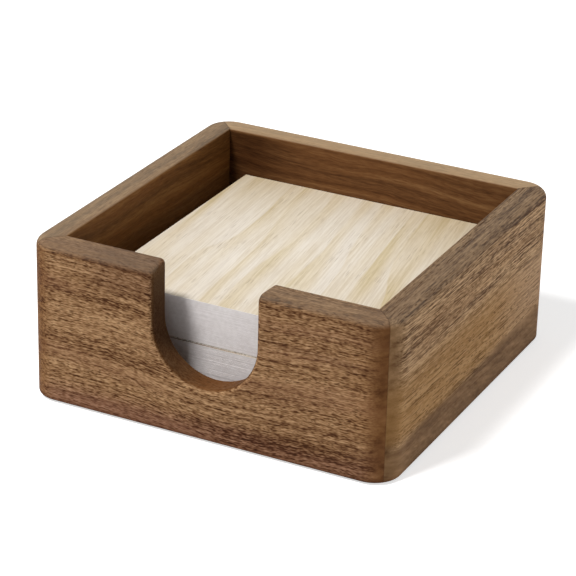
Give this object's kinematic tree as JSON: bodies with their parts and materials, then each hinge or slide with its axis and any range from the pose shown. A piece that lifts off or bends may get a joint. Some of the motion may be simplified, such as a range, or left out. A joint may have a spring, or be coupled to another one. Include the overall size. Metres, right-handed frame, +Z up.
{
  "type": "sticky note holder",
  "caption": "Square open-topped walnut tray with mitred rounded corners and a U-shaped thumb notch in the front wall, holding stacked pads of square sticky notes.",
  "frame": {"origin": "bottom centre of the holder, on the surface that it stands on", "axes": "+Z up, -Y towards the front wall with the thumb notch, +X to the right"},
  "size_m": [0.0966, 0.0966, 0.0415],
  "materials": {
    "walnut": "satin oil over open-pored walnut",
    "walnut_panel": "satin oil over walnut veneer",
    "spline_wood": "bare, inside the glued mitre",
    "felt": "pressed felt",
    "backing_card": "uncoated card",
    "note_paper": "uncoated white paper",
    "printed_paper": "uncoated paper with a pale wood-grain print"
  },
  "bodies": {
    "tray": {"front_wall": "walnut", "right_wall": "walnut", "back_wall": "walnut", "left_wall": "walnut", "bottom_panel": "walnut_panel", "front_left_spline": "spline_wood", "front_right_spline": "spline_wood", "back_left_spline": "spline_wood", "back_right_spline": "spline_wood", "front_left_foot": "felt", "front_right_foot": "felt", "back_left_foot": "felt", "back_right_foot": "felt"},
    "lower_pad": {"lower_backing_card": "backing_card", "lower_note_block": "note_paper", "lower_cover_note": "printed_paper"},
    "upper_pad": {"upper_backing_card": "backing_card", "upper_note_block": "note_paper"},
    "top_note": {"top_note": "printed_paper"}
  },
  "joints": [
    {"name": "lower_pad_lift", "type": "slide", "parent": "tray", "child": "lower_pad", "axis": [0, 0, 1], "range_m": [0, 0.045]},
    {"name": "upper_pad_lift", "type": "slide", "parent": "lower_pad", "child": "upper_pad", "axis": [0, 0, 1], "range_m": [0, 0.03]},
    {"name": "top_note_peel", "type": "hinge", "parent": "upper_pad", "child": "top_note", "pos_m": [0.00215, 0.04065, 0.02949], "axis": [-1, 0, 0], "range_deg": [0, 75]}
  ]
}
